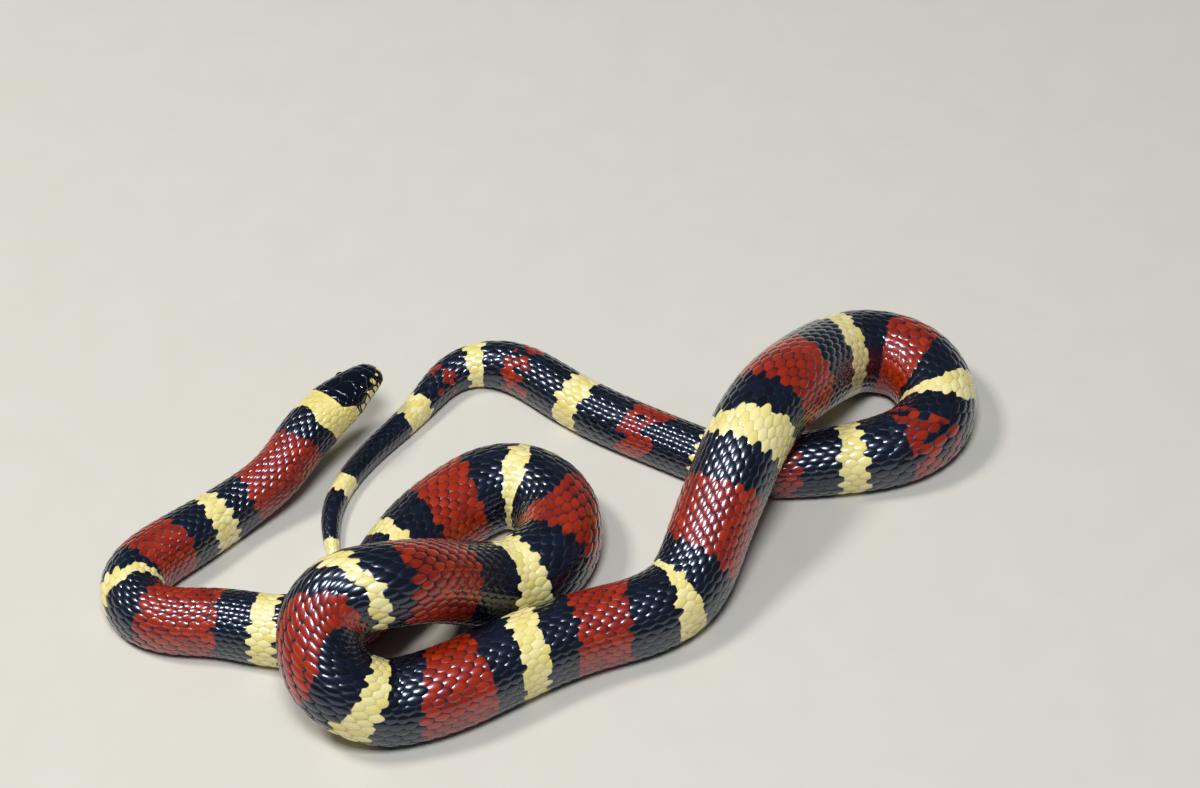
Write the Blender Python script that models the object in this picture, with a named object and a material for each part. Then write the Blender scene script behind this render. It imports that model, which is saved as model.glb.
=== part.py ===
"""Milk snake, a still life-size model of the whole animal, coiled on the floor.

The body is one tapering tube laid along a hand-drawn route. The floor is at z = 0, and the origin
is on the floor under the middle of the coils. The tube is parted by thin flat cuts into neck,
torso lengths and tail lengths. The head is lofted on its own axis and parted along the mouth line.
Lengths below are in millimetres, and scene units are metres.
"""
import math

import bmesh
import bpy
import numpy as np
from mathutils import Matrix, Vector

MM = 0.001

# Route of the spine seen from above, from the nape to the tip of the tail
ROUTE = [
    (-88.8, -28.4), (-95.5, -36.5), (-102, -47), (-112, -55), (-124, -66), (-133, -74.5),
    (-141, -82), (-145, -91), (-141.5, -100.5), (-132, -105.5), (-117, -106), (-102, -109.5),
    (-88, -110), (-76, -103), (-66, -89.5), (-57, -73), (-43, -58), (-30, -50.5),
    (-17.5, -55.5), (-12, -69), (-16, -83), (-27.5, -92), (-39, -99), (-52, -109.5),
    (-66, -119), (-79, -121.5), (-84, -130), (-79.5, -139.5), (-66.5, -140.5), (-50, -136),
    (-33, -126.5), (-17, -117), (0, -109.5), (15, -104), (27, -93.5), (34, -77),
    (41, -62), (50, -42), (62, -22), (74, -2), (87, 9.5), (102, 6),
    (109.5, -7), (109, -20), (99, -31.5), (83, -37), (64, -40), (45, -40),
    (26, -31), (5, -19), (-15, -4), (-32, 8), (-47, 6.5), (-58.5, -9),
    (-71, -26), (-82, -44), (-85.5, -60), (-83, -75), (-81, -87),
]
ROUTE_MIDDLE = (-15.66, -65.40)
ROUTE_STEPS = 6000
EVEN_OUT = 28.0
TANGENT_REACH = 1.0

# Places where the belly leaves the floor: start, top begins, top ends, end, height
LIFTS = [
    (-40.0, -20.0, -4.0, 48.0, 11.0),
    (286.0, 339.0, 341.0, 389.0, 28.5),
    (478.0, 541.0, 548.0, 616.0, 21.5),
]

# Body width along the route, as distance from the nape and width
GIRTH = [
    (0.0, 17.6), (14.0, 16.7), (30.0, 16.8), (60.0, 19.2), (90.0, 19.8), (140.0, 22.0),
    (205.0, 26.0), (254.0, 27.0), (305.0, 26.0), (360.0, 25.4), (418.0, 25.8), (460.0, 24.4),
    (495.0, 25.0), (530.0, 26.0), (595.0, 27.4), (641.0, 25.4), (676.0, 23.0), (700.0, 20.6),
    (725.0, 18.2), (760.0, 17.6), (790.0, 17.4), (812.0, 16.0), (838.0, 11.0), (860.0, 8.8),
    (885.0, 7.8), (905.0, 6.6), (917.0, 4.4), (924.0, 1.8),
]
TIP_WIDTH = 0.8

# The head leans to its left, and the neck turns level again over this distance
HEAD_ROLL = math.radians(10.0)
ROLL_END = 40.0

# Cross-section of the body: heights as shares of the half width, then where the flat belly ends
BACK_HEIGHT = 0.98
BELLY_DEPTH = 0.80
BELLY_EDGE = math.radians(36.0)
BELLY_POWER = 0.62

SIDES = 20
RING_STEP = 6.6
SCUTE_EDGE = math.radians(30.0)
SCUTE_STEP = 0.35
SCUTE_STEP_MOST = 0.12
SCUTE_RISE = 0.3
CUT = 0.3

# How finely doubled points are joined, and the turn between faces that stays a sharp edge
JOIN_WITHIN = 0.004
SLIVER = 0.002
SHARP_TURN = math.radians(32.0)

# Where the body is parted, as distance from the nape
PARTS = [
    ("neck", 60.0), ("torso_1", 91.0), ("torso_2", 156.0), ("torso_3", 215.0),
    ("torso_4", 266.0), ("torso_5", 326.0), ("torso_6", 352.0), ("torso_7", 396.0),
    ("torso_8", 458.0), ("torso_9", 522.0), ("torso_10", 600.0), ("torso_11", 664.0),
    ("torso_12", 742.0), ("torso_13", 826.0), ("tail_1", 890.0), ("tail_2", None),
]


def natural_spline(knots, values, at):
    """Smooth curve through the knots, with no bending at its two ends."""
    knots = np.asarray(knots, float)
    values = np.asarray(values, float)
    count = len(knots)
    gaps = np.diff(knots)
    matrix = np.eye(count)
    right = np.zeros(count)
    for i in range(1, count - 1):
        matrix[i, i - 1:i + 2] = gaps[i - 1], 2.0 * (gaps[i - 1] + gaps[i]), gaps[i]
        right[i] = 6.0 * ((values[i + 1] - values[i]) / gaps[i] - (values[i] - values[i - 1]) / gaps[i - 1])
    bend = np.linalg.solve(matrix, right)
    i = np.clip(np.searchsorted(knots, at) - 1, 0, count - 2)
    gap = gaps[i]
    before = (knots[i + 1] - at) / gap
    after = (at - knots[i]) / gap
    straight = before * values[i] + after * values[i + 1]
    curved = ((before ** 3 - before) * bend[i] + (after ** 3 - after) * bend[i + 1]) * gap ** 2 / 6.0
    return straight + curved


def ramp(low, high, at):
    """Rises from 0 at low to 1 at high, level at both ends."""
    t = np.clip((at - low) / (high - low), 0.0, 1.0)
    return t * t * (3.0 - 2.0 * t)


def even_out(points, window):
    """Averages points over a bell-shaped window, so that bends turn evenly."""
    half = int(window / 2.0)
    weights = np.hanning(2 * half + 3)[1:-1]
    weights /= weights.sum()
    steps = np.arange(half, 0, -1)[:, None]
    before = points[0] - steps * (points[1] - points[0])
    after = points[-1] + steps[::-1] * (points[-1] - points[-2])
    padded = np.concatenate([before, points, after])
    return np.stack([np.convolve(padded[:, k], weights, mode="valid") for k in (0, 1)], axis=1)


def half_width(at):
    """Half of the body's width at a distance from the nape."""
    knots, widths = np.array(GIRTH).T
    return np.maximum(natural_spline(knots, widths, at), TIP_WIDTH) / 2.0


def belly_height(at):
    """Height of the belly over the floor at a distance from the nape."""
    height = np.zeros_like(at)
    for start, top, top_end, end, lift in LIFTS:
        height += lift * ramp(start, top, at) * (1.0 - ramp(top_end, end, at))
    return height


class Spine:
    """The route as a space curve, with a side and an up direction everywhere on it."""

    def __init__(self):
        points = np.array(ROUTE, float) - np.array(ROUTE_MIDDLE)
        chord = np.r_[0.0, np.cumsum(np.linalg.norm(np.diff(points, axis=0), axis=1))]
        fine = np.linspace(0.0, chord[-1], ROUTE_STEPS)
        rough = np.stack([natural_spline(chord, points[:, k], fine) for k in (0, 1)], axis=1)
        flat = even_out(rough, EVEN_OUT * len(fine) / chord[-1])
        run = np.r_[0.0, np.cumsum(np.linalg.norm(np.diff(flat, axis=0), axis=1))]
        height = belly_height(run) + BELLY_DEPTH * half_width(run)
        self.points = np.column_stack([flat, height])
        self.run = np.r_[0.0, np.cumsum(np.linalg.norm(np.diff(self.points, axis=0), axis=1))]
        self.plan = run
        self.length = self.run[-1]

    def at(self, run):
        """Centre, forward, side and up directions at distances along the body."""
        run = np.atleast_1d(np.asarray(run, float))
        centre = np.stack([np.interp(run, self.run, self.points[:, k]) for k in range(3)], axis=1)
        reach = TANGENT_REACH
        ahead = np.stack([np.interp(run + reach, self.run, self.points[:, k]) for k in range(3)], axis=1)
        behind = np.stack([np.interp(run - reach, self.run, self.points[:, k]) for k in range(3)], axis=1)
        forward = ahead - behind
        forward /= np.linalg.norm(forward, axis=1)[:, None]
        side = np.cross(np.array([0.0, 0.0, 1.0]), forward)
        side /= np.linalg.norm(side, axis=1)[:, None]
        up = np.cross(forward, side)
        turn = (HEAD_ROLL * (1.0 - ramp(0.0, ROLL_END, run)))[:, None]
        rolled_side = side * np.cos(turn) + up * np.sin(turn)
        return centre, forward, rolled_side, np.cross(forward, rolled_side)

    def width(self, run):
        """Half width at distances along the body."""
        return half_width(np.interp(run, self.run, self.plan))


def body_section(angle):
    """Loaf-shaped outline for a half width of 1: round back, flat belly. The angle starts at the back."""
    across = np.sin(angle)
    rise = np.cos(angle)
    edge = math.cos(BELLY_EDGE)
    lower = -BELLY_DEPTH * np.minimum(1.0, (np.abs(rise) / edge) ** BELLY_POWER)
    return across, np.where(rise > 0.0, BACK_HEIGHT * rise, lower)


def mesh_object(name, vertices, faces, collection):
    """Makes a named object from points in millimetres, with doubled points joined."""
    mesh = bpy.data.meshes.new(name)
    mesh.from_pydata([tuple(float(c) * MM for c in v) for v in vertices], [], faces)
    work = bmesh.new()
    work.from_mesh(mesh)
    bmesh.ops.remove_doubles(work, verts=work.verts, dist=JOIN_WITHIN * MM)
    bmesh.ops.dissolve_degenerate(work, edges=work.edges, dist=SLIVER * MM)
    bmesh.ops.triangulate(work, faces=work.faces)
    bmesh.ops.recalc_face_normals(work, faces=work.faces)
    work.to_mesh(mesh)
    work.free()
    mesh.shade_smooth()
    mesh.set_sharp_from_angle(angle=SHARP_TURN)
    thing = bpy.data.objects.new(name, mesh)
    collection.objects.link(thing)
    return thing


def body_length(spine, name, start, end, collection, material):
    """One length of the body: a loft with broad belly scutes as low steps, closed by flat ends."""
    steps = max(2, round((end - start) / RING_STEP))
    borders = np.linspace(start, end, steps + 1)
    angles = np.linspace(0.0, 2.0 * math.pi, SIDES, endpoint=False)
    across, rise = body_section(angles)
    under = np.abs(angles - math.pi) < SCUTE_EDGE
    rows = []
    for k in range(steps):
        length = borders[k + 1] - borders[k]
        for share, sunk in ((0.0, True), (SCUTE_RISE, False), (1.0, False)):
            for_back = borders[k] if share < 1.0 else borders[k + 1]
            run = np.where(under, borders[k] + share * length, for_back)
            centre, _, side, up = spine.at(run)
            width = spine.width(run)
            height = rise * width
            if sunk and k > 0:
                step = np.minimum(SCUTE_STEP, SCUTE_STEP_MOST * width)
                height = height + np.where(under, step, 0.0)
            rows.append(centre + side * (across * width)[:, None] + up * height[:, None])
    vertices = np.concatenate(rows)
    faces = [tuple(range(SIDES))]
    for row in range(len(rows) - 1):
        for i in range(SIDES):
            j = (i + 1) % SIDES
            low, high = row * SIDES, (row + 1) * SIDES
            faces.append((low + i, high + i, high + j, low + j))
    faces.append(tuple((len(rows) - 1) * SIDES + i for i in reversed(range(SIDES))))
    thing = mesh_object(name, vertices, faces, collection)
    thing.data.materials.append(material)
    return thing


# Head sizes, on an axis that runs forward from the nape
HEAD_LENGTH = 25.0
HEAD_SIDES = 32
HEAD_STATIONS = [
    # forward, half width, top, bottom
    (0.0, 8.8, 7.8, 6.3),
    (4.0, 9.1, 7.5, 6.0),
    (8.0, 8.7, 7.0, 5.7),
    (12.0, 7.7, 6.5, 5.2),
    (16.0, 6.7, 5.7, 4.6),
    (19.5, 6.0, 4.7, 4.0),
    (22.5, 5.2, 3.5, 3.4),
    (24.2, 4.0, 2.5, 2.5),
    (25.0, 2.2, 1.2, 1.2),
]
HEAD_SQUARENESS = 2.35
HEAD_RINGS = 12
HEAD_RINGS_END = 20.0
SNOUT_RINGS = (21.4, 22.6, 23.5, 24.2, 24.7)
MOUTH_HEIGHT = [
    (-2.0, 1.2), (4.5, -0.2), (9.0, -2.1), (14.0, -2.2), (19.0, -1.6), (23.0, -1.5), (27.0, -1.4),
]
MOUTH_STEPS = 14
JAW_END = 2.4
LIP_RAISE = 0.28
LIP_HEIGHT = 1.1
LIP_START = 2.0
LIP_FULL = 8.0
CUT_DEPTH = 12.0
CUT_REACH = 14.0
CUT_AHEAD = 2.0
EYE_FORWARD = 14.6
EYE_RADIUS = 1.9
EYE_HEIGHT = 2.7
EYE_SUNK = 1.7
EYE_SIDES = 20
NOSTRIL_FORWARD = 23.0
NOSTRIL_HEIGHT = 0.9
NOSTRIL_RADIUS = 0.42
NOSTRIL_SIDES = 10

# Plain colours, as the share of red, green and blue light, and roughness
BLACK_HEAD = (0.010, 0.011, 0.016)
DARK_EYE = (0.006, 0.005, 0.005)
RED_BODY = (0.36, 0.02, 0.01)
HEAD_ROUGHNESS = 0.25
EYE_ROUGHNESS = 0.05
BODY_ROUGHNESS = 0.3


def head_size(column, at):
    """Half width, top or bottom of the head at a place on its axis."""
    table = np.array(HEAD_STATIONS)
    return natural_spline(table[:, 0], table[:, column], at)


def mouth_line(at):
    """Height of the mouth line at a place on the head's axis."""
    knots, heights = np.array(MOUTH_HEIGHT).T
    return natural_spline(knots, heights, at)


def head_ring(at):
    """One outline round the head: a rounded box with a low raised lip along the mouth line."""
    angle = np.linspace(0.0, 2.0 * math.pi, HEAD_SIDES, endpoint=False)
    power = 2.0 / HEAD_SQUARENESS
    across = np.sign(np.sin(angle)) * np.abs(np.sin(angle)) ** power
    rise = np.sign(np.cos(angle)) * np.abs(np.cos(angle)) ** power
    height = np.where(rise > 0.0, head_size(2, at), head_size(3, at)) * rise
    lip = LIP_RAISE * np.exp(-((height - mouth_line(at)) / LIP_HEIGHT) ** 2) * ramp(LIP_START, LIP_FULL, at)
    wide = head_size(1, at) * across + lip * across
    return np.column_stack([np.full(HEAD_SIDES, at), wide, height])


def head_solid(collection):
    """The whole head before it is parted."""
    places = np.r_[np.linspace(CUT, HEAD_RINGS_END, HEAD_RINGS), SNOUT_RINGS, HEAD_LENGTH]
    rows = [head_ring(place) for place in places]
    faces = [tuple(range(HEAD_SIDES))]
    for row in range(len(rows) - 1):
        for i in range(HEAD_SIDES):
            j = (i + 1) % HEAD_SIDES
            low, high = row * HEAD_SIDES, (row + 1) * HEAD_SIDES
            faces.append((low + i, high + i, high + j, low + j))
    faces.append(tuple((len(rows) - 1) * HEAD_SIDES + i for i in reversed(range(HEAD_SIDES))))
    return mesh_object("head", np.concatenate(rows), faces, collection)


def mouth_cutter(collection):
    """A thin curved slab that follows the mouth line, then turns down behind the jaw."""
    forward = np.linspace(JAW_END, HEAD_LENGTH + CUT_AHEAD, MOUTH_STEPS)
    upper = [(x, float(mouth_line(np.array(x))) + CUT / 2.0) for x in forward]
    lower = [(x, float(mouth_line(np.array(x))) - CUT / 2.0) for x in forward[1:]]
    rear = [(JAW_END + CUT, upper[0][1] - CUT), (JAW_END + CUT, -CUT_DEPTH), (JAW_END, -CUT_DEPTH)]
    outline = upper + lower[::-1] + rear
    vertices = [(x, hand * CUT_REACH, z) for hand in (-1.0, 1.0) for x, z in outline]
    count = len(outline)
    faces = [tuple(range(count)), tuple(reversed(range(count, 2 * count)))]
    faces += [(i, i + count, (i + 1) % count + count, (i + 1) % count) for i in range(count)]
    return mesh_object("mouth_cutter", vertices, faces, collection)


def ball(name, centre, radius, segments, collection):
    """A closed round ball."""
    mesh = bpy.data.meshes.new(name)
    work = bmesh.new()
    bmesh.ops.create_uvsphere(work, u_segments=segments, v_segments=segments // 2, radius=radius * MM)
    bmesh.ops.translate(work, verts=work.verts, vec=Vector(centre) * MM)
    work.to_mesh(mesh)
    work.free()
    mesh.shade_smooth()
    thing = bpy.data.objects.new(name, mesh)
    collection.objects.link(thing)
    return thing


def cut_away(thing, cutter):
    """Takes the cutter's shape out of the object."""
    cut = thing.modifiers.new("cut", "BOOLEAN")
    cut.operation = "DIFFERENCE"
    cut.object = cutter
    cut.solver = "EXACT"
    seen = bpy.context.evaluated_depsgraph_get()
    mesh = bpy.data.meshes.new_from_object(thing.evaluated_get(seen))
    thing.modifiers.remove(cut)
    thing.data = mesh


def split_loose(thing, name, collection):
    """Moves the lower of two loose pieces into an object of its own."""
    work = bmesh.new()
    work.from_mesh(thing.data)
    work.verts.ensure_lookup_table()
    seen = set()
    groups = []
    for seed in work.verts:
        if seed in seen:
            continue
        group = []
        todo = [seed]
        seen.add(seed)
        while todo:
            vertex = todo.pop()
            group.append(vertex)
            for edge in vertex.link_edges:
                other = edge.other_vert(vertex)
                if other not in seen:
                    seen.add(other)
                    todo.append(other)
        groups.append(group)
    groups = sorted(groups, key=len)[-2:]
    groups.sort(key=lambda group: sum(v.co.z for v in group) / len(group))
    pieces = []
    for group in groups:
        piece = work.copy()
        keep = {v.index for v in group}
        bmesh.ops.delete(piece, geom=[v for v in piece.verts if v.index not in keep], context="VERTS")
        pieces.append(piece)
    lower = bpy.data.objects.new(name, bpy.data.meshes.new(name))
    collection.objects.link(lower)
    pieces[0].to_mesh(lower.data)
    pieces[1].to_mesh(thing.data)
    for piece in pieces:
        piece.free()
    work.free()
    return lower


def head_pieces(spine, collection, cutters, looks):
    """Head, lower jaw and two eyes, set on the front end of the neck."""
    head = head_solid(collection)
    sockets = []
    eyes = []
    for name, hand in (("eye_left", 1.0), ("eye_right", -1.0)):
        wide = float(head_size(1, np.array(EYE_FORWARD)))
        centre = (EYE_FORWARD, hand * (wide - EYE_SUNK), EYE_HEIGHT)
        sockets.append(ball("socket_" + name, centre, EYE_RADIUS + CUT, EYE_SIDES, cutters))
        eyes.append(ball(name, centre, EYE_RADIUS, EYE_SIDES, collection))
        nose = float(head_size(1, np.array(NOSTRIL_FORWARD)))
        centre = (NOSTRIL_FORWARD, hand * nose, NOSTRIL_HEIGHT)
        sockets.append(ball("nostril_" + name, centre, NOSTRIL_RADIUS, NOSTRIL_SIDES, cutters))
    for cutter in sockets + [mouth_cutter(cutters)]:
        cut_away(head, cutter)
    jaw = split_loose(head, "lower_jaw", collection)
    centre, forward, side, up = (Vector(row[0]) for row in spine.at(0.0))
    ahead = -forward
    place = Matrix((ahead, -side, up)).transposed().to_4x4()
    place.translation = centre * MM
    for thing in [head, jaw] + eyes:
        thing.data.transform(place)
        thing.data.materials.clear()
        thing.data.materials.append(looks["eye"] if thing in eyes else looks["head"])
        thing.data.shade_smooth()
        thing.data.set_sharp_from_angle(angle=SHARP_TURN)
    for cutter in cutters.objects:
        cutter.hide_render = True
        cutter.display_type = "WIRE"


def material(name, colour, roughness):
    """A plain surface with a colour and a roughness."""
    made = bpy.data.materials.new(name)
    made.use_nodes = True
    shader = made.node_tree.nodes["Principled BSDF"]
    shader.inputs["Base Color"].default_value = (*colour, 1.0)
    shader.inputs["Roughness"].default_value = roughness
    shader.inputs["Metallic"].default_value = 0.0
    return made


def new_collection(name):
    """A collection linked to the scene."""
    made = bpy.data.collections.new(name)
    bpy.context.scene.collection.children.link(made)
    return made


def main():
    """Builds the snake from the nape back, then its head."""
    for thing in list(bpy.data.objects):
        bpy.data.objects.remove(thing, do_unlink=True)
    snake = new_collection("milk_snake")
    cutters = new_collection("cutters")
    looks = {
        "head": material("black_head", BLACK_HEAD, HEAD_ROUGHNESS),
        "eye": material("dark_eye", DARK_EYE, EYE_ROUGHNESS),
    }
    spine = Spine()
    start = 0.0
    for name, end in PARTS:
        last = spine.length if end is None else end - CUT
        skin = material("skin_" + name, RED_BODY, BODY_ROUGHNESS)
        body_length(spine, name, start, last, snake, skin)
        start = end
    head_pieces(spine, snake, cutters, looks)


main()
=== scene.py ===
# %% [markdown]
# # A milk snake, scale by scale
# This lesson dresses a plain solid model of a coiled milk snake. The real animal is about a metre
# long, with glossy, smooth scales in rings of red, black and cream. The plan is one closed skin,
# then a coat of separate scales over it, then the large shields of the head, and two eyes.

# %% Load the solid model
import math

import bpy
import numpy as np
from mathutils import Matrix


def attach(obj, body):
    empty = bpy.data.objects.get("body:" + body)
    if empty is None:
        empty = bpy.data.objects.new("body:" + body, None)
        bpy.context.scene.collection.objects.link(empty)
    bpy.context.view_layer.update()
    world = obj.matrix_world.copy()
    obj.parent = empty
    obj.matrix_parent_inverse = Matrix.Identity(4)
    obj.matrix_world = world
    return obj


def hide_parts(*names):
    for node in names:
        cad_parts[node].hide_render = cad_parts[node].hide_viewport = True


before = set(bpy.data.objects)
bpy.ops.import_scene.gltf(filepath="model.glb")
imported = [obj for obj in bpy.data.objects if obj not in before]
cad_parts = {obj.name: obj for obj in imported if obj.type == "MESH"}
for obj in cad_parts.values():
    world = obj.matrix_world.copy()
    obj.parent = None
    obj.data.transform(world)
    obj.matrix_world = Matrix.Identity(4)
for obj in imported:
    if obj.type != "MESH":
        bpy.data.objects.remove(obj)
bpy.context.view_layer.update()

MM = 0.001
SEED = 11
rng = np.random.default_rng(SEED)

# %% [markdown]
# ## The route of the body
# A snake is a tube laid along a path, so everything starts from a spine curve. The plan view is a
# smooth spline through listed points. It is averaged over a bell-shaped window, so that the
# bends turn evenly, and lifted where one length of the body crosses over another. A Blender curve
# could carry a tube too, but an array can be asked for the place of every scale.

# %% Route, lifts and girth in millimetres
ROUTE = [
    (-88.8, -28.4), (-95.5, -36.5), (-102, -47), (-112, -55), (-124, -66), (-133, -74.5),
    (-141, -82), (-145, -91), (-141.5, -100.5), (-132, -105.5), (-117, -106), (-102, -109.5),
    (-88, -110), (-76, -103), (-66, -89.5), (-57, -73), (-43, -58), (-30, -50.5),
    (-17.5, -55.5), (-12, -69), (-16, -83), (-27.5, -92), (-39, -99), (-52, -109.5),
    (-66, -119), (-79, -121.5), (-84, -130), (-79.5, -139.5), (-66.5, -140.5), (-50, -136),
    (-33, -126.5), (-17, -117), (0, -109.5), (15, -104), (27, -93.5), (34, -77),
    (41, -62), (50, -42), (62, -22), (74, -2), (87, 9.5), (102, 6),
    (109.5, -7), (109, -20), (99, -31.5), (83, -37), (64, -40), (45, -40),
    (26, -31), (5, -19), (-15, -4), (-32, 8), (-47, 6.5), (-58.5, -9),
    (-71, -26), (-82, -44), (-85.5, -60), (-83, -75), (-81, -87),
]
ROUTE_MIDDLE = (-15.66, -65.40)
ROUTE_STEPS = 6000
# length of the averaging window
EVEN_OUT = 28.0
# a direction is measured from this far behind a place to this far ahead of it
TANGENT_REACH = 1.0

# start of the lift, top begins, top ends, end of the lift, height
LIFTS = [
    (-40.0, -20.0, -4.0, 48.0, 11.0),
    (286.0, 339.0, 341.0, 389.0, 28.5),
    (478.0, 541.0, 548.0, 616.0, 21.5),
]
# distance from the nape in plan, full width
GIRTH = [
    (0.0, 17.6), (14.0, 16.7), (30.0, 16.8), (60.0, 19.2), (90.0, 19.8), (140.0, 22.0),
    (205.0, 26.0), (254.0, 27.0), (305.0, 26.0), (360.0, 25.4), (418.0, 25.8), (460.0, 24.4),
    (495.0, 25.0), (530.0, 26.0), (595.0, 27.4), (641.0, 25.4), (676.0, 23.0), (700.0, 20.6),
    (725.0, 18.2), (760.0, 17.6), (790.0, 17.4), (812.0, 16.0), (838.0, 11.0), (860.0, 8.8),
    (885.0, 7.8), (905.0, 6.6), (917.0, 4.4), (924.0, 1.8),
]
TIP_WIDTH = 0.8
# the head leans to its left, and the neck turns level again over this distance
HEAD_ROLL = math.radians(10.0)
ROLL_END = 40.0
# heights over and under the spine for a half width of 1, and the angle from the belly's middle
# at which its flat part ends
BACK_HEIGHT = 0.98
BELLY_DEPTH = 0.80
BELLY_EDGE = math.radians(36.0)
BELLY_POWER = 0.62


def natural_spline(knots, values, at):
    """Cubic pieces through the knots whose slopes and bends agree where they meet."""
    knots = np.asarray(knots, float)
    values = np.asarray(values, float)
    count = len(knots)
    gaps = np.diff(knots)
    matrix = np.eye(count)
    right = np.zeros(count)
    for i in range(1, count - 1):
        matrix[i, i - 1:i + 2] = gaps[i - 1], 2.0 * (gaps[i - 1] + gaps[i]), gaps[i]
        right[i] = 6.0 * ((values[i + 1] - values[i]) / gaps[i] - (values[i] - values[i - 1]) / gaps[i - 1])
    bend = np.linalg.solve(matrix, right)
    i = np.clip(np.searchsorted(knots, at) - 1, 0, count - 2)
    gap = gaps[i]
    before = (knots[i + 1] - at) / gap
    after = (at - knots[i]) / gap
    straight = before * values[i] + after * values[i + 1]
    return straight + ((before ** 3 - before) * bend[i] + (after ** 3 - after) * bend[i + 1]) * gap ** 2 / 6.0


def ramp(low, high, at):
    """Rises from 0 at low to 1 at high as 3t^2 - 2t^3."""
    t = np.clip((at - low) / (high - low), 0.0, 1.0)
    return t * t * (3.0 - 2.0 * t)


def bell(distance, width):
    """1 at distance 0, falling as exp(-(distance / width)^2)."""
    return np.exp(-(distance / width) ** 2)


def half_width(plan):
    """Half of the body's width at a plan distance from the nape."""
    knots, widths = np.array(GIRTH).T
    return np.maximum(natural_spline(knots, widths, plan), TIP_WIDTH) / 2.0


def belly_height(plan):
    """Sum of the lifts, each rising and falling as a ramp."""
    height = np.zeros_like(plan)
    for start, top, top_end, end, lift in LIFTS:
        height += lift * ramp(start, top, plan) * (1.0 - ramp(top_end, end, plan))
    return height


def even_out(points, window):
    """Average of the points over a Hann window, with the ends carried straight on."""
    half = int(window / 2.0)
    weights = np.hanning(2 * half + 3)[1:-1]
    weights /= weights.sum()
    steps = np.arange(half, 0, -1)[:, None]
    before = points[0] - steps * (points[1] - points[0])
    after = points[-1] + steps[::-1] * (points[-1] - points[-2])
    padded = np.concatenate([before, points, after])
    return np.stack([np.convolve(padded[:, k], weights, mode="valid") for k in (0, 1)], axis=1)


def run_along(points):
    """Distance travelled along a row of points."""
    return np.r_[0.0, np.cumsum(np.linalg.norm(np.diff(points, axis=0), axis=1))]


route = np.array(ROUTE, float) - np.array(ROUTE_MIDDLE)
chord = run_along(route)
fine = np.linspace(0.0, chord[-1], ROUTE_STEPS)
rough = np.stack([natural_spline(chord, route[:, k], fine) for k in (0, 1)], axis=1)
flat = even_out(rough, EVEN_OUT * ROUTE_STEPS / chord[-1])
SPINE_PLAN = run_along(flat)
SPINE = np.column_stack([flat, belly_height(SPINE_PLAN) + BELLY_DEPTH * half_width(SPINE_PLAN)])
SPINE_RUN = run_along(SPINE)
LENGTH = SPINE_RUN[-1]
print(f"body from nape to tail tip: {LENGTH:.0f} mm")

# %% [markdown]
# ## One outer form for the whole animal
# The body's cross-section is a loaf: round on the back, flat on the belly. The head is a rounded
# box that tapers to a blunt snout. It could be sculpted, but then each scale would have to be
# fitted to it. Here one function gives a point on the form for a run along the animal and an
# angle round it, and every piece asks it. Runs below zero are on the head, ahead of the nape.

# %% The outer form as a function of run and angle
HEAD_STATIONS = [
    # forward of the nape, half width, top, bottom
    (0.0, 8.8, 7.8, 6.3),
    (4.0, 9.1, 7.5, 6.0),
    (8.0, 8.7, 7.0, 5.7),
    (12.0, 7.7, 6.5, 5.2),
    (16.0, 6.7, 5.7, 4.6),
    (19.5, 6.0, 4.7, 4.0),
    (22.5, 5.2, 3.5, 3.4),
    (24.2, 4.0, 2.5, 2.5),
    (25.0, 2.2, 1.2, 1.2),
]
WIDE, TOP, BOTTOM = 1, 2, 3
HEAD_SQUARENESS = 2.35
SNOUT = 25.2
ROUND_FROM = 22.0
ROUND_POWER = 2.6
# steps over which a slope and a tangent are measured, and the shortest normal
SLOPE_STEP = 0.5
TURN_STEP = 0.01
TINY = 1e-9
# forward of the nape, height over the head's axis
MOUTH_HEIGHT = [
    (-2.0, 1.2), (4.5, -0.2), (9.0, -2.1), (14.0, -2.2), (19.0, -1.6), (23.0, -1.5), (27.0, -1.4),
]
# the lips stand out along the mouth line, from its rear end forward
LIP_RAISE = 0.28
LIP_HEIGHT = 1.1
LIP_START = 2.0
LIP_FULL = 8.0
# the head turns into the body over this distance on both sides of the nape
NAPE_BLEND = 5.0
TAIL_ROUND = 2.5


def head_size(column, forward):
    """A size from the stations, closed at the snout by the square root of 1 - share^2.6."""
    table = np.array(HEAD_STATIONS)
    inner = np.minimum(forward, ROUND_FROM)
    size = natural_spline(table[:, 0], table[:, column], inner)
    edge = natural_spline(table[:, 0], table[:, column], np.array([ROUND_FROM - SLOPE_STEP, ROUND_FROM]))
    past = np.maximum(forward - ROUND_FROM, 0.0)
    share = np.clip(past / (SNOUT - ROUND_FROM), 0.0, 1.0)
    return (size + (edge[1] - edge[0]) / SLOPE_STEP * past) * np.sqrt(1.0 - share ** ROUND_POWER)


def mouth_line(forward):
    """Height of the mouth line over the head's axis."""
    knots, heights = np.array(MOUTH_HEIGHT).T
    return natural_spline(knots, heights, forward)


def axis_at(run):
    """Centre of the spine, its forward direction, and the side and up directions across it."""
    inner = np.clip(run, TANGENT_REACH, LENGTH - TANGENT_REACH)

    def spine_point(at):
        return np.stack([np.interp(at, SPINE_RUN, SPINE[:, k]) for k in range(3)], axis=-1)

    forward = spine_point(inner + TANGENT_REACH) - spine_point(inner - TANGENT_REACH)
    forward /= np.linalg.norm(forward, axis=-1, keepdims=True)
    side = np.cross(np.array([0.0, 0.0, 1.0]), forward)
    side /= np.linalg.norm(side, axis=-1, keepdims=True)
    turn = (HEAD_ROLL * (1.0 - ramp(0.0, ROLL_END, run)))[..., None]
    side = side * np.cos(turn) + np.cross(forward, side) * np.sin(turn)
    centre = spine_point(run) + np.minimum(run, 0.0)[..., None] * forward
    return centre, forward, side, np.cross(forward, side)


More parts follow.
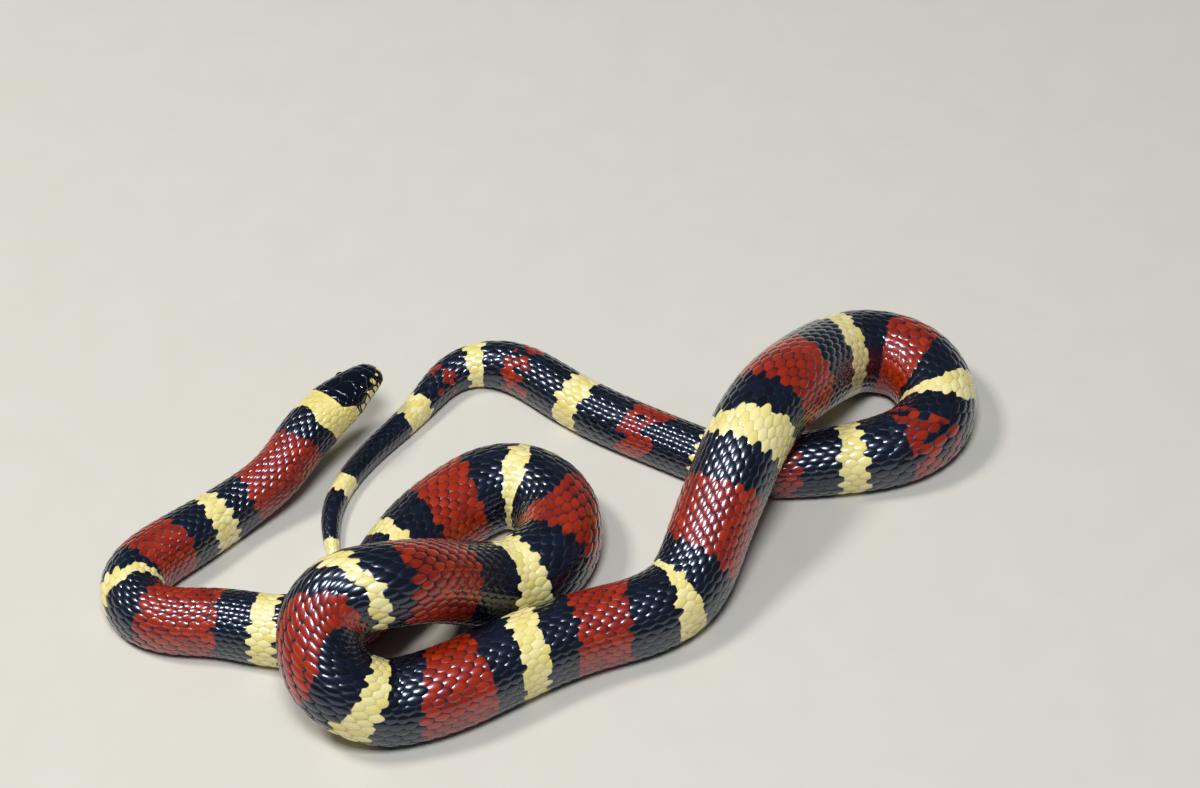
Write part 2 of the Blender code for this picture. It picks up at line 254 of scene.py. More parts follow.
def width_at(run):
    """Half width of the body at a run, rounded off at the end of the tail as a quarter circle."""
    past = np.clip((run - LENGTH + TAIL_ROUND) / TAIL_ROUND, 0.0, 1.0)
    return half_width(np.interp(run, SPINE_RUN, SPINE_PLAN)) * np.sqrt(1.0 - past ** 2)


def loaf(angle):
    """Sine across, and a cosine above; below, the cosine's power 0.62, cut off flat at the belly."""
    lower = -BELLY_DEPTH * np.minimum(1.0, (np.abs(np.cos(angle)) / math.cos(BELLY_EDGE)) ** BELLY_POWER)
    return np.sin(angle), np.where(np.cos(angle) > 0.0, BACK_HEIGHT * np.cos(angle), lower)


def outline(run, angle):
    """Across and rise in mm: a superellipse on the head, blended into the loaf at the nape."""
    forward = np.clip(-run, 0.0, SNOUT)
    power = 2.0 / HEAD_SQUARENESS
    across = np.sign(np.sin(angle)) * np.abs(np.sin(angle)) ** power
    rise = np.sign(np.cos(angle)) * np.abs(np.cos(angle)) ** power
    height = np.where(rise > 0.0, head_size(TOP, forward), head_size(BOTTOM, forward)) * rise
    lip = LIP_RAISE * bell(height - mouth_line(forward), LIP_HEIGHT) * ramp(LIP_START, LIP_FULL, forward)
    lip = lip * np.minimum(1.0, head_size(WIDE, forward))
    body_across, body_rise = loaf(angle)
    width = width_at(run)
    body = ramp(-NAPE_BLEND, NAPE_BLEND, run)
    wide = (head_size(WIDE, forward) + lip) * across
    return wide + (width * body_across - wide) * body, height + (width * body_rise - height) * body


def place(run, angle):
    """Point on the outer form: centre plus across times side plus rise times up."""
    centre, _, side, up = axis_at(run)
    across, rise = outline(run, angle)
    return centre + side * across[..., None] + up * rise[..., None]


def surface(run, angle, proud):
    """Point on the outer form, moved by proud along the cross-section's outward normal."""
    _, forward, _, _ = axis_at(run)
    tangent = place(run, angle + TURN_STEP) - place(run, angle - TURN_STEP)
    normal = np.cross(forward, tangent)
    normal /= np.maximum(np.linalg.norm(normal, axis=-1, keepdims=True), TINY)
    return place(run, angle) + normal * proud[..., None]


# arc length round half of the loaf, for a half width of 1, and the arc from the middle of the
# back to the line where the coat of scales ends and the belly scutes begin
ARC_STEPS = 721
COAT_TURN = math.radians(122.0)
turns = np.linspace(0.0, math.pi, ARC_STEPS)
turn_arc = run_along(np.column_stack(loaf(turns)))
BACK_ARC = float(np.interp(COAT_TURN, turns, turn_arc))


def turn_of(arc):
    """Angle that lies a given arc from the middle of the back, for a half width of 1."""
    return np.sign(arc) * np.interp(np.abs(arc), turn_arc, turns)


print(f"coat covers {2 * BACK_ARC:.2f} half widths round the body")

# %% [markdown]
# ## Rings of colour
# The pattern is a list of rings along the body, in millimetres from the nape. Everything that lies
# between a red ring and a cream ring is black. A painted picture could carry them, but it would
# stretch in the bends. Instead the skin and the coat ask the same functions, so their colours
# agree. A border crosses each scale at about half slope and jumps a little from scale to scale,
# which gives the ragged ring edges of the real animal.

# %% The rings, from nape to tail
# start, end, and how much later the start and the end come on the left flank
CREAM_RINGS = [
    (46.3, 53.0, 0.0, 2.0), (85.7, 90.3, -2.9, -2.0), (133.9, 141.0, -0.6, -0.6),
    (186.0, 191.7, 2.5, 2.7), (235.0, 242.7, 4.5, -3.5), (285.3, 299.0, 0.3, -2.0),
    (350.4, 354.8, -4.4, -5.0), (390.0, 399.5, -1.0, 1.0), (444.0, 453.2, 2.0, 2.5),
    (497.0, 502.8, 4.0, 2.4), (550.9, 560.0, 0.6, -4.0), (614.0, 623.5, 8.0, 5.5),
    (670.5, 677.5, -6.5, -4.7), (708.8, 716.5, 0.3, 1.2), (753.0, 761.0, 0.0, 0.0),
    (802.6, 811.0, 0.0, 0.0), (844.8, 850.4, 0.5, 1.5), (872.5, 882.4, 0.0, 1.0),
    (912.8, 920.5, 0.0, 0.0), (939.5, 946.5, 0.0, 0.0),
]
RED_RINGS = [
    (12.9, 35.8, -1.7, 2.0), (64.1, 79.8, -1.0, 0.5), (99.6, 122.8, -0.9, 0.0),
    (151.0, 175.0, 0.0, 0.0), (203.6, 222.5, 3.9, 3.5), (257.6, 273.5, -8.0, 0.2),
    (316.2, 342.3, -0.1, -1.5), (361.2, 374.5, -7.5, -9.5), (415.8, 432.8, 4.5, 0.5),
    (464.8, 482.8, 3.0, 3.5), (514.8, 537.5, 3.0, -0.7), (572.2, 594.0, -0.6, 3.5),
    (640.4, 659.0, 4.5, -9.0), (688.0, 696.5, -6.0, 0.0), (729.5, 744.0, 0.0, 0.0),
    (773.5, 786.5, 2.4, 1.6), (824.4, 834.5, -2.0, 1.3), (856.0, 865.0, 4.0, 3.0),
]
RING_SOFT = 0.35
# front edge of the nape ring on the back, on the cheeks and on the throat, and the degrees from
# the top between which it goes from one to the next
NAPE_FRONT = -4.0
CHEEK_TURNS = (48.0, 80.0)
NAPE_SIDE = -8.4
THROAT_TURNS = (116.0, 138.0)
THROAT_FRONT = -15.0
# rear edge, and the place in degrees and the width of the bell by which it swells
NAPE_REAR = 3.0
NAPE_SWELL = 2.2
SWELL_TURN = 48.0
SWELL_WIDTH = 30.0
print("rings:", len(CREAM_RINGS), "cream behind the nape ring,", len(RED_RINGS), "red")


def in_rings(run, angle, rings):
    """1 inside any ring, 0 outside. A border runs at its base plus slant times the angle's sine."""
    flank = np.sin(angle)
    amount = np.zeros_like(run)
    for start, end, start_slant, end_slant in rings:
        past_start = ramp(-RING_SOFT, RING_SOFT, run - start - start_slant * flank)
        amount += past_start * (1.0 - ramp(-RING_SOFT, RING_SOFT, run - end - end_slant * flank))
    return np.clip(amount, 0.0, 1.0)


def ring_colours(run, angle):
    """Amounts of cream and red. The nape ring reaches forward on the cheeks and the throat."""
    turn = np.degrees(np.arccos(np.cos(angle)))
    front = NAPE_FRONT + (NAPE_SIDE - NAPE_FRONT) * ramp(*CHEEK_TURNS, turn)
    front = front + (THROAT_FRONT - NAPE_SIDE) * ramp(*THROAT_TURNS, turn)
    rear = NAPE_REAR + NAPE_SWELL * bell(turn - SWELL_TURN, SWELL_WIDTH)
    nape = ramp(-RING_SOFT, RING_SOFT, run - front) * (1.0 - ramp(-RING_SOFT, RING_SOFT, run - rear))
    return np.maximum(in_rings(run, angle, CREAM_RINGS), nape), in_rings(run, angle, RED_RINGS)


# %% [markdown]
# ## Small helpers for meshes and materials
# Each piece is a set of points and faces worked out as whole arrays, which is far quicker than
# adding them one by one. Numbers that the material needs, such as how red a place is, travel with
# the points as attributes.

# %% Make a mesh from arrays
# share of the unwrap's height that one full turn round the body takes, and its bare margin
BAKE_ROUND = 0.96
BAKE_MARGIN = 0.01
HALF_HEIGHT = 0.5


def make_piece(name, points, faces, finish, attributes, bake=None, sharp=None):
    """Object with points in mm, a list of face arrays, float attributes and an optional UV map."""
    mesh = bpy.data.meshes.new(name)
    corners = np.concatenate([part.ravel() for part in faces])
    sizes = np.concatenate([np.full(len(part), part.shape[1]) for part in faces])
    starts = np.r_[0, np.cumsum(sizes)[:-1]]
    mesh.vertices.add(len(points))
    mesh.vertices.foreach_set("co", (points * MM).astype(np.float32).ravel())
    mesh.loops.add(len(corners))
    mesh.loops.foreach_set("vertex_index", corners.astype(np.int32))
    mesh.polygons.add(len(sizes))
    mesh.polygons.foreach_set("loop_start", starts.astype(np.int32))
    mesh.update(calc_edges=True)
    mesh.shade_smooth()
    if sharp:
        mesh.set_sharp_from_angle(angle=math.radians(sharp))
    for key, values in attributes.items():
        layer = mesh.attributes.new(key, "FLOAT", "POINT")
        layer.data.foreach_set("value", np.broadcast_to(values, len(points)).astype(np.float32))
    if bake is not None:
        spots = bake[corners]
        # a face that crosses the unwrap's cut keeps its corners together, past the high side
        spread = np.maximum.reduceat(spots[:, 1], starts) - np.minimum.reduceat(spots[:, 1], starts)
        crosses = np.repeat(spread > HALF_HEIGHT, sizes)
        spots[:, 1] += BAKE_ROUND * (crosses & (spots[:, 1] < HALF_HEIGHT))
        layer = mesh.uv_layers.new(name="OFBake")
        layer.uv.foreach_set("vector", spots.astype(np.float32).ravel())
    mesh.materials.append(finish)
    thing = bpy.data.objects.new(name, mesh)
    bpy.context.scene.collection.objects.link(thing)
    print(f"{name}: {int((sizes - 2).sum())} triangles")
    return thing


def flat_attributes(shape, **amounts):
    """Each amount repeated over an array of points and laid out as one row."""
    return {key: np.broadcast_to(values, shape).ravel() for key, values in amounts.items()}


def grid_faces(rows, columns):
    """Faces of a grid whose columns close: each corner, the next row's, and their neighbours."""
    corner = np.arange(rows * columns).reshape(rows, columns)
    near, far = corner[:-1], corner[1:]
    faces = np.stack([near, far, np.roll(far, -1, axis=1), np.roll(near, -1, axis=1)], axis=-1)
    return faces.reshape(-1, 4)


def fan_faces(ring, pole, turned):
    """Triangles from a closed ring of corners to one pole."""
    after = np.roll(ring, -1)
    hub = np.full(len(ring), pole)
    return np.stack([hub, after, ring] if turned else [hub, ring, after], axis=-1)


# %% [markdown]
# ## The finishes
# A snake's scale is keratin: a clear, hard, slightly waxy skin product like a fingernail, over
# pigment cells. Its index is about 1.55, and 1.58 here matches the gloss of scales polished by
# wear, on which light falls in small sharp highlights. The pigment could be a painted picture, but
# thousands of scales are hard to paint. So it is read from the attributes, and noise in Object
# coordinates breaks it up. One function adds a node, sets it and links it.

# %% Colours, nodes and materials
def linear(code):
    """Turns an sRGB hex colour into linear light: ((c + 0.055) / 1.055)^2.4 above the dark end."""
    parts = [int(code[i:i + 2], 16) / 255.0 for i in (0, 2, 4)]
    return tuple(c / 12.92 if c <= 0.04045 else ((c + 0.055) / 1.055) ** 2.4 for c in parts) + (1.0,)


def add_node(tree, kind, links, output=0, **settings):
    """Adds a node with settings by name, and values or links for its inputs, and gives an output."""
    made = tree.nodes.new(kind)
    for key, value in settings.items():
        setattr(made, key, value)
    for socket, value in links.items():
        if isinstance(value, bpy.types.NodeSocket):
            tree.links.new(value, made.inputs[socket])
        else:
            made.inputs[socket].default_value = value
    return made.outputs[output]


def new_finish(name, values):
    """A material with values on its shader's own sockets, its node tree and its shader."""
    made = bpy.data.materials.new(name)
    made.use_nodes = True
    shader = made.node_tree.nodes["Principled BSDF"]
    for socket, value in values.items():
        shader.inputs[socket].default_value = value
    return made, made.node_tree, shader


# %% Keratin over pigment
# sockets of the Mix node for colours
MIX_FACTOR, MIX_A, MIX_B, MIX_OUT = 0, 6, 7, 2
# dark and light of each pigment, and the rim's colour on dark scales and on cream ones. The navy
# light end of black is partly the scales' own blue-black and partly painted blue sheen. The rim is
# partly the scales' own dark edge and partly painted shade in the gaps between scales
BLACK_AND_PAINTED_SHEEN = ("020305", "0b1426")
RED = ("7c1501", "aa2e01")
CREAM = ("e2ce6c", "f5e8ac")
RIM_AND_GAP_SHADE = ("0a0605", "7c6a2c")
KERATIN_IOR = 1.58
GLOSS_TINT = "cadcff"
COAT_ROUGH = 0.12
# the rim is matt, since it is thin and worn
RIM_ROUGH = 0.25
# an amount goes from 0 to 1 between these, which sharpens the steps between points
SHARPEN = {"red": (0.38, 0.62), "cream": (0.38, 0.62), "rim": (0.76, 1.0)}
# noise cells in a metre: patches 1.1 mm across, as pigment cells cluster, and ripples a third of
# a millimetre apart, drawn coarser than real scale sculpture
CLOUD = {"Scale": 900.0, "Detail": 3.0}
CLOUD_SHARE = 0.3
RIPPLE = {"Scale": 3000.0, "Detail": 2.0}
RIPPLE_BUMP = {"Strength": 0.12, "Distance": 0.04 * MM}


def keratin(name, rough_low, rough_high, rim_red, rim_other, coat):
    """Pigment layers under clear keratin, partly painted sheen in the black, a darker rim to each scale,
    partly painted gap shade, and a fine ripple.
    """
    made, tree, shader = new_finish(name, {
        "IOR": KERATIN_IOR, "Coat Weight": coat, "Coat Roughness": COAT_ROUGH,
        "Specular Tint": linear(GLOSS_TINT),
    })
    where = add_node(tree, "ShaderNodeTexCoord", {}, "Object")
    cloud = add_node(tree, "ShaderNodeTexNoise", {"Vector": where, **CLOUD}, "Fac")
    amount = {key: add_node(tree, "ShaderNodeAttribute", {}, "Fac", attribute_name=key)
              for key in ("shade", "red", "cream", "tip", "rim")}
    for key, (low, high) in SHARPEN.items():
        links = {"Value": amount[key], "From Min": low, "From Max": high}
        amount[key] = add_node(tree, "ShaderNodeMapRange", links, interpolation_type="SMOOTHSTEP")
    red, cream, rim = amount["red"], amount["cream"], amount["rim"]
    cloud_part = add_node(tree, "ShaderNodeMath", {0: cloud, 1: CLOUD_SHARE}, operation="MULTIPLY")
    links = {0: amount["shade"], 1: 1.0 - CLOUD_SHARE, 2: cloud_part}
    shade = add_node(tree, "ShaderNodeMath", links, operation="MULTIPLY_ADD")
    tipped = add_node(tree, "ShaderNodeMath", {0: amount["tip"], 1: red}, operation="MULTIPLY")
    links = {0: red, 1: rim_red - rim_other, 2: rim_other}
    rim_part = add_node(tree, "ShaderNodeMath", links, operation="MULTIPLY_ADD")
    rim_shade_share = add_node(tree, "ShaderNodeMath", {0: rim, 1: rim_part}, operation="MULTIPLY")
    base, red_pigment, cream_pigment, rim_and_gap_shade_colour = (
        add_node(tree, "ShaderNodeMix", {MIX_FACTOR: share, MIX_A: linear(dark), MIX_B: linear(light)},
                 MIX_OUT, data_type="RGBA")
        for share, (dark, light) in ((shade, BLACK_AND_PAINTED_SHEEN), (shade, RED), (shade, CREAM), (cream, RIM_AND_GAP_SHADE)))
    # the layers lie over black, which is partly painted sheen: red, its black tips, cream, and the rim
    # over all, which is partly painted shade in the gaps between scales
    for share, layer in ((red, red_pigment), (tipped, linear(BLACK_AND_PAINTED_SHEEN[0])), (cream, cream_pigment),
                         (rim_shade_share, rim_and_gap_shade_colour)):
        links = {MIX_FACTOR: share, MIX_A: base, MIX_B: layer}
        base = add_node(tree, "ShaderNodeMix", links, MIX_OUT, data_type="RGBA")
    tree.links.new(base, shader.inputs["Base Color"])
    rough = add_node(tree, "ShaderNodeMapRange", {"Value": cloud, "To Min": rough_low, "To Max": rough_high})
    rough = add_node(tree, "ShaderNodeMath", {0: rim, 1: RIM_ROUGH, 2: rough}, operation="MULTIPLY_ADD")
    tree.links.new(rough, shader.inputs["Roughness"])
    ripple = add_node(tree, "ShaderNodeTexNoise", {"Vector": where, **RIPPLE}, "Fac")
    bump = add_node(tree, "ShaderNodeBump", {"Height": ripple, **RIPPLE_BUMP})
    tree.links.new(bump, shader.inputs["Normal"])
    return made


# roughness from and to, share of the rim's colour on red and on other scales, a rim that is partly
# painted shade in the gaps, and gloss coat: worn and polished scales, scutes rubbed dull by the
# ground, glassy shields, soft matt skin
scale_finish = keratin("smooth_keratin_scales", 0.23, 0.31, 0.95, 0.25, 0.9)
scute_finish = keratin("belly_keratin_scutes", 0.26, 0.40, 0.45, 0.25, 0.2)
shield_finish = keratin("polished_head_shields", 0.12, 0.22, 0.5, 0.3, 0.4)
skin_finish = keratin("soft_skin_between_scales", 0.5, 0.65, 0.5, 0.3, 0.0)
print("nodes in each keratin:", len(scale_finish.node_tree.nodes))

# %% [markdown]
# ## The skin
# Between its scales a snake has soft, folded skin. Here it is a closed tube from snout to tail tip
# that lies just under the outer form, by the depth of the coat. It shows only as thin dark lines
# between scales, so a plain grid is enough.

# %% One closed skin
# depth of the coat on body and head, and the runs between which it changes
COAT = 0.44
HEAD_COAT = 0.95
COAT_CHANGE = (-6.0, -2.0)
# the skin comes nearer to the surface at the tip of the snout, between these distances from it
SNOUT_RISE = (-1.0, 1.5)
SNOUT_POLE = 0.4
SKIN_SIDES = 96
HEAD_SKIN_ROWS = 50
BODY_SKIN_STEP = 1.6
SKIN_CREAM = 0.85
SKIN_LOOK = {"shade": 0.2, "tip": 0.45, "rim": 0.8}


def coat_depth(run, coat):
    """Depth of the coat, but no more than half of the half width where the tail is thin."""
    return np.minimum(coat, 0.5 * width_at(run))


head_part = -SNOUT * np.sin(np.linspace(math.pi / 2.0, 0.0, HEAD_SKIN_ROWS, endpoint=False))
body_part = np.linspace(0.0, LENGTH, int(LENGTH / BODY_SKIN_STEP))
runs = np.r_[head_part, body_part][1:-1]
angles = np.linspace(0.0, 2.0 * math.pi, SKIN_SIDES, endpoint=False)
skin_run, skin_angle = np.meshgrid(runs, angles, indexing="ij")
depth = coat_depth(skin_run, HEAD_COAT + (COAT - HEAD_COAT) * ramp(*COAT_CHANGE, skin_run))
depth = depth * ramp(*SNOUT_RISE, skin_run + SNOUT)
tips = np.array([-SNOUT, LENGTH])
tip_points = place(tips, np.zeros(2))
tip_points[0] += SNOUT_POLE * axis_at(tips)[1][0]
skin_points = np.concatenate([surface(skin_run, skin_angle, -depth).reshape(-1, 3), tip_points])
last_row = (len(runs) - 1) * SKIN_SIDES + np.arange(SKIN_SIDES)
skin_faces = [
    grid_faces(len(runs), SKIN_SIDES),
    np.concatenate([fan_faces(np.arange(SKIN_SIDES), len(skin_points) - 2, False),
                    fan_faces(last_row, len(skin_points) - 1, True)]),
]
skin_cream, skin_red = ring_colours(np.r_[skin_run.ravel(), tips], np.r_[skin_angle.ravel(), 0.0, 0.0])
skin = make_piece("skin", skin_points, skin_faces, skin_finish,
                  {"cream": skin_cream * SKIN_CREAM, "red": skin_red, **SKIN_LOOK})

# %% [markdown]
# ## The coat of scales
# Smooth scales sit in slanting rows, like roof tiles, with their free tips towards the tail. The
# body has 23 lengthwise rows at its middle and fewer towards head and tail. A bump texture looks
# flat from near by, and scattered copies of one scale stand stiffly in the bends. So each scale is
# a small closed dome on a rounded rhombus, with every point placed by run and arc on the outer
# form. Sixty faces a scale are enough, because there are thousands of them.

# %% The shape of one scale
SCALE_SIDES = 12
# shares of the outline at which its rings of points lie
SCALE_RINGS = (0.5, 0.82, 1.0)
# the outline is a superellipse, more pointed at the tip than at the root
TIP_POWER = 1.45
ROOT_POWER = 1.8
# height over the skin, of the tip over the root, of the dome, and of the edge, in mm
SCALE_BASE = 0.06
SCALE_TILT = 0.19
SCALE_DOME = 0.29
DOME_POWER = 3.0
SCALE_THICK = 0.24

turn = np.linspace(0.0, 2.0 * math.pi, SCALE_SIDES, endpoint=False)
power = np.where(np.cos(turn) > 0.0, TIP_POWER, ROOT_POWER)
reach = (np.abs(np.cos(turn)) ** power + np.abs(np.sin(turn)) ** power) ** (-1.0 / power)
ring_share = np.array(SCALE_RINGS + (1.0,))
template_along = np.r_[0.0, (ring_share[:, None] * reach * np.cos(turn)).ravel(), 0.0]
template_across = np.r_[0.0, (ring_share[:, None] * reach * np.sin(turn)).ravel(), 0.0]
template_share = np.r_[0.0, np.repeat(ring_share, SCALE_SIDES), 1.0]
under_start = len(SCALE_RINGS) * SCALE_SIDES + 1
template_lower = (np.arange(len(template_share)) >= under_start).astype(float)
ring_faces = grid_faces(len(ring_share), SCALE_SIDES) + 1
top_fan = fan_faces(np.arange(SCALE_SIDES) + 1, 0, False)
under_fan = fan_faces(np.arange(SCALE_SIDES) + under_start, under_start + SCALE_SIDES, True)
print("one scale:", len(template_share), "points,", len(ring_faces) + len(top_fan) + len(under_fan), "faces")

# %% Where the scales stand
# run from which a number of lengthwise rows holds
ROWS = [
    (-20.0, 19), (50.0, 21), (120.0, 23), (640.0, 21), (700.0, 19), (790.0, 17), (838.0, 13),
    (868.0, 11), (895.0, 9), (925.0, 7),
]
SCALE_ASPECT = 1.68
COAT_START = -3.0
COAT_END = LENGTH - 1.5

roots = []
scute_runs = []
run = COAT_START
step = 0
while run < COAT_END:
    rows = [count for start, count in ROWS if run >= start][-1]
    spacing = 2.0 * BACK_ARC / rows
    length = SCALE_ASPECT * spacing * float(width_at(run))
    row = np.arange(step % 2, rows, 2)
    roots.append(np.column_stack([
        np.full(len(row), run), (row - (rows - 1) / 2.0) * spacing,
        np.full(len(row), length), np.full(len(row), spacing),
    ]))
    if step % 2 == 0:
        scute_runs.append((run, length))
    run += length / 2.0
    step += 1
roots = np.concatenate(roots)
print("dorsal scales:", len(roots), "belly scutes:", len(scute_runs))

# %% How the scales vary
# half length and half width of a scale, as shares of the steps along and across
SCALE_LONG = 0.63
SCALE_WIDE = 0.72
SIZE_SPREAD = 0.05
LEAN_SPREAD = 0.03
STRETCH_SHARE = 0.35
STRETCH_LIMITS = (0.3, 1.9)
# scales are lower where the body's half width is less than this, and at the nape
FULL_WIDTH = 7.0
TAIL_FLAT = 0.45
NAPE_FLAT = 0.7
NAPE_FLAT_RUNS = (-1.0, 4.5)
# near the nape a border cuts straight through the scales, and then it crosses them at half slope
NAPE_SHARE = 1.0
BODY_SHARE = 0.45
SHARE_RUNS = (6.0, 14.0)
RING_JITTER = 0.7
# share of the red scales that are black towards the tail, and the runs between which it grows
MOTTLE = [(0.25, 660.0, 700.0), (0.5, 800.0, 870.0)]
# chance that a red scale has a black tip, more on the back and near the edge of a ring
TIP_CHANCE = 0.42
TIP_BACK_CHANCE = 0.35
BACK_TURN = 0.6
TIP_EDGE_CHANCE = 0.3
EDGE_REACH = 1.1
TIP_SIZES = (0.3, 1.0)
TIP_FROM_TO = (0.15, 0.95)
# the scales differ less in shade near the nape
NAPE_SHADE = 0.3
SHADE_RUNS = (5.0, 12.0)

# %% Build the coat in pieces
SCALES_A_PIECE = 1950
BAKE_PATCH = 0.0015
SHARP_EDGE = 40.0


def bake_place(run, arc):
    """Place on the unwrapped skin: run along the body and arc round it, both from 0 to 1."""
    along = BAKE_MARGIN + (1.0 - 2.0 * BAKE_MARGIN) * (run + SNOUT) / (LENGTH + SNOUT)
    return along, HALF_HEIGHT + BAKE_ROUND / 2.0 * arc / turn_arc[-1]


def scale_piece(name, part):
    """One mesh of many scales: template times size, laid on the outer form by run and arc."""
    run, arc, length, spacing = part.T[..., None]
    count = len(part)
    size = 1.0 + SIZE_SPREAD * rng.standard_normal((count, 1))
    # on the outside of a bend, 1 mm of run is longer, but the scales stretch less than the skin
    root_angle = turn_of(arc)
    stretch = np.linalg.norm(place(run + 0.5, root_angle) - place(run - 0.5, root_angle), axis=-1)
    stretch = np.clip(stretch, *STRETCH_LIMITS) ** -STRETCH_SHARE
    along = template_along * SCALE_LONG * length * size * stretch
    across = template_across * SCALE_WIDE * spacing * size
    lean = LEAN_SPREAD * rng.standard_normal((count, 1))
    thick = np.clip(width_at(run) / FULL_WIDTH, TAIL_FLAT, 1.0)
    thick = thick * (NAPE_FLAT + (1.0 - NAPE_FLAT) * ramp(*NAPE_FLAT_RUNS, run))
    tilt = SCALE_TILT * (template_along + 1.0) / 2.0
    dome = SCALE_DOME * (1.0 - template_share ** DOME_POWER)
    lift = (SCALE_BASE + tilt + dome - SCALE_THICK * template_lower) * thick + lean * template_across
    at = np.clip(run + along, -SNOUT, LENGTH)
    angle = turn_of(np.clip(arc + across, -turn_arc[-1], turn_arc[-1]))
    points = surface(at, angle, lift - coat_depth(at, COAT))

    share = NAPE_SHARE + (BODY_SHARE - NAPE_SHARE) * ramp(*SHARE_RUNS, run)
    colour_run = run + share * along + (1.0 - share) * RING_JITTER * rng.standard_normal((count, 1))
    cream, red = ring_colours(colour_run, root_angle + share * (angle - root_angle))
    mottle = sum(amount * ramp(start, end, run) for amount, start, end in MOTTLE)
    red = red * (rng.random((count, 1)) > mottle)
    edge = np.minimum(in_rings(run - EDGE_REACH * length, root_angle, RED_RINGS),
                      in_rings(run + EDGE_REACH * length, root_angle, RED_RINGS))
    chance = TIP_CHANCE + TIP_BACK_CHANCE * (np.abs(root_angle) < BACK_TURN) + TIP_EDGE_CHANCE * (edge < 0.5)
    tipped = (rng.random((count, 1)) < chance) * rng.uniform(*TIP_SIZES, (count, 1))
    shade = rng.random((count, 1)) * (NAPE_SHADE + (1.0 - NAPE_SHADE) * ramp(*SHADE_RUNS, run))
    # the rim amount darkens each scale's edge, partly its own dark edge and partly painted shade in the gaps
    attributes = flat_attributes(points.shape[:2], cream=cream, red=red, shade=shade,
                                 tip=tipped * ramp(*TIP_FROM_TO, template_along), rim=template_share)

    u, v = bake_place(run, arc)
    bake = np.stack([u + BAKE_PATCH * template_along, v + BAKE_PATCH * template_across], axis=-1)
    offset = (np.arange(count) * len(template_share))[:, None, None]
    faces = [(ring_faces + offset).reshape(-1, 4),
             np.concatenate([(top_fan + offset).reshape(-1, 3), (under_fan + offset).reshape(-1, 3)])]
    return make_piece(name, points.reshape(-1, 3), faces, scale_finish, attributes, bake.reshape(-1, 2),
                      SHARP_EDGE)


pieces = [skin]
for k, part in enumerate(np.array_split(roots, math.ceil(len(roots) / SCALES_A_PIECE))):
    pieces.append(scale_piece(f"dorsal_scales_{k + 1}", part))

# %% [markdown]
# ## The belly scutes
# Under the body, one broad plate spans the belly for each crosswise row of scales. Under the tail
# the plates come in pairs. They could be cut into the skin as grooves, but as bent strips of their
# own each one's rear edge lies over the next, as on the animal.

# %% Broad plates across the belly
SCUTE_ROWS = 5
SCUTE_COLUMNS = 18
# front and rear edge, in steps along the body from the root, and how much the ends are shorter
SCUTE_FRONT = -0.55
SCUTE_BACK = 0.62
SCUTE_TAPER = 0.35
TAPER_POWER = 5
# depth of the front edge in mm, and the share of the plate over which it comes up
SCUTE_LOW = -0.36
SCUTE_RISE = 0.75
SCUTE_INSET = 0.02
SCUTE_THICK = 0.22
SCUTE_FULL_WIDTH = 8.0
# the side edges sink under the skin, so that no corner stands out
SCUTE_SIDE = 0.5
SIDE_POWER = 8
SCUTE_JITTER = 0.8
SCUTE_TIP = 0.5
SCUTE_TIP_START = 0.6
VENT = 838.0
HALF_SCUTE = math.radians(62.0)
TAIL_SEAM = 0.01


def scute_template():
    """Grid of shares along and across, top then underside, as one closed strip."""
    shares = np.linspace(0.0, 1.0, SCUTE_ROWS)
    along, across = np.meshgrid(shares, np.linspace(-1.0, 1.0, SCUTE_COLUMNS), indexing="ij")
    count = SCUTE_ROWS * SCUTE_COLUMNS
    corner = np.arange(count).reshape(SCUTE_ROWS, SCUTE_COLUMNS)
    quads = np.stack([corner[:-1, :-1], corner[1:, :-1], corner[1:, 1:], corner[:-1, 1:]], axis=-1)
    quads = quads.reshape(-1, 4)
    border = np.r_[corner[0, :-1], corner[:-1, -1], corner[-1, :0:-1], corner[:0:-1, 0]]
    wall = np.stack([border, np.roll(border, -1), np.roll(border, -1) + count, border + count], axis=-1)
    return along.ravel(), across.ravel(), np.concatenate([quads, quads[:, ::-1] + count, wall])


